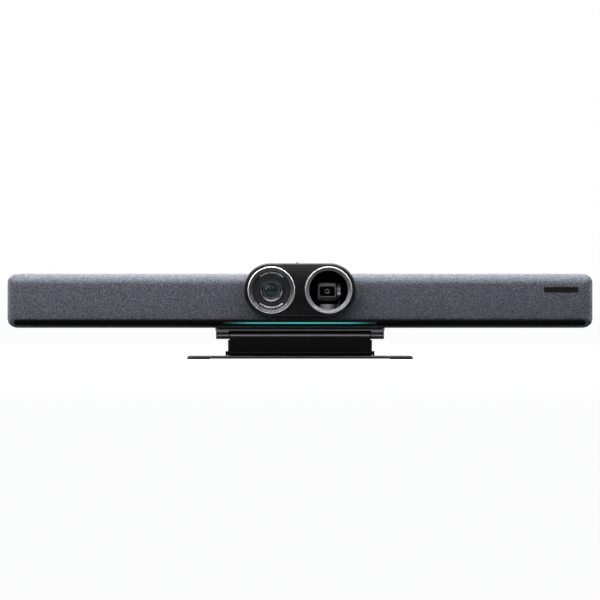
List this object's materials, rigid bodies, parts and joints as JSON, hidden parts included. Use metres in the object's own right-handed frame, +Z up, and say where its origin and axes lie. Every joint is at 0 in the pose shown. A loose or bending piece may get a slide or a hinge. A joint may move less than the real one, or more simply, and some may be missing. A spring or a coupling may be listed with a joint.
{
  "type": "conference camera bar",
  "caption": "Cloth-wrapped video bar with a twin camera pod, one fixed lens and one gimbal camera behind a window, a lower light strip and a folding tilt stand.",
  "frame": {"origin": "centre of the bounding box at the floor, under the pads", "axes": "+X to the right seen from the front, along the bar; -Y is the front, where the lenses look; +Z up"},
  "size_m": [0.858, 0.082, 0.1416],
  "materials": {
    "stand_paint": "satin black",
    "rubber": "matte",
    "steel": "brushed",
    "bronze": "oiled",
    "cap_gloss": "gloss",
    "housing_plastic": "fine spark texture",
    "frame_plastic": "matte",
    "cloth": "heathered knit",
    "strip_gloss": "high gloss",
    "light": "diffusing, lit",
    "board": "solder mask",
    "label_black": "gloss",
    "pod_plastic": "satin",
    "ring_metal": "polished edge",
    "funnel_black": "ridged matte",
    "funnel_grey": "satin grey",
    "lens_glass": "coated",
    "window_clear": "clear",
    "bay_black": "matte",
    "gimbal_plastic": "satin",
    "motor_metal": "bead blasted",
    "eye_gloss": "gloss",
    "sink_metal": "anodised",
    "socket_metal": "plated",
    "socket_black": "matte",
    "cone_black": "pulp cone",
    "box_plastic": "matte"
  },
  "bodies": {
    "base": {"base_plate": "stand_paint", "base_pads": "rubber", "lower_hinge_pin": "steel"},
    "riser": {"riser_panel": "stand_paint", "riser_end_caps": "cap_gloss", "tilt_hinge_pin": "steel", "tilt_friction_bushes": "bronze"},
    "bar": {"mount_leaf": "stand_paint", "tilt_knuckle_left": "stand_paint", "tilt_knuckle_right": "stand_paint", "leaf_screws": "steel", "rear_housing": "housing_plastic", "front_frame": "frame_plastic", "fabric_cover": "cloth", "lower_strip": "strip_gloss", "light_guide": "light", "light_board": "board", "label_plate": "label_black", "speaker_grille_left": "frame_plastic", "speaker_grille_right": "frame_plastic", "speaker_box_left": "box_plastic", "speaker_box_right": "box_plastic", "driver_frame_left": "steel", "driver_frame_right": "steel", "bass_port_left": "box_plastic", "bass_port_right": "box_plastic", "mic_boards": "board", "pod_shell": "pod_plastic", "pod_fascia": "pod_plastic", "power_switch": "socket_black", "wide_lens_ring": "ring_metal", "wide_lens_funnel": "funnel_black", "wide_lens_barrel": "funnel_black", "wide_lens_retainer": "ring_metal", "wide_front_element": "lens_glass", "wide_rear_element": "lens_glass", "wide_sensor_board": "board", "window_ring": "ring_metal", "window_funnel": "funnel_grey", "window_glass": "window_clear", "gimbal_bay": "bay_black", "pan_stator": "motor_metal", "main_board": "board", "heat_sink": "sink_metal", "dc_jack": "socket_black", "ethernet_port": "socket_metal", "hdmi_ports": "socket_metal", "usb_ports": "socket_metal", "audio_jack": "socket_black", "housing_screws": "steel"},
    "gimbal_yoke": {"pan_drum": "gimbal_plastic", "gimbal_arm": "gimbal_plastic", "tilt_motor": "motor_metal"},
    "gimbal_head": {"head_shell": "gimbal_plastic", "head_window": "eye_gloss", "head_lens": "lens_glass"},
    "button": {"power_button": "cap_gloss"},
    "left_cone": {"cone_left": "cone_black"},
    "right_cone": {"cone_right": "cone_black"}
  },
  "joints": [
    {"name": "riser_fold", "type": "hinge", "parent": "base", "child": "riser", "pos_m": [0, 0.0335, 0.0078], "axis": [1, 0, 0], "range_deg": [-90, 0]},
    {"name": "bar_tilt", "type": "hinge", "parent": "riser", "child": "bar", "pos_m": [0, 0.0335, 0.0345], "axis": [1, 0, 0], "range_deg": [-25, 15]},
    {"name": "gimbal_pan", "type": "hinge", "parent": "bar", "child": "gimbal_yoke", "pos_m": [0.0398, -0.0092, 0.0767], "axis": [0, 0, 1], "range_deg": [-45, 45]},
    {"name": "gimbal_tilt", "type": "hinge", "parent": "gimbal_yoke", "child": "gimbal_head", "pos_m": [0.0398, -0.0092, 0.0995], "axis": [1, 0, 0], "range_deg": [-30, 30]},
    {"name": "button_press", "type": "slide", "parent": "bar", "child": "button", "axis": [0, 0, -1], "range_m": [0, 0.0008], "stiffness_N_per_m": 400, "springref_m": -0.0005},
    {"name": "left_cone_travel", "type": "slide", "parent": "bar", "child": "left_cone", "axis": [0, 1, 0], "range_m": [-0.0012, 0.0012], "stiffness_N_per_m": 1500},
    {"name": "right_cone_travel", "type": "slide", "parent": "bar", "child": "right_cone", "axis": [0, 1, 0], "range_m": [-0.0012, 0.0012], "stiffness_N_per_m": 1500}
  ]
}
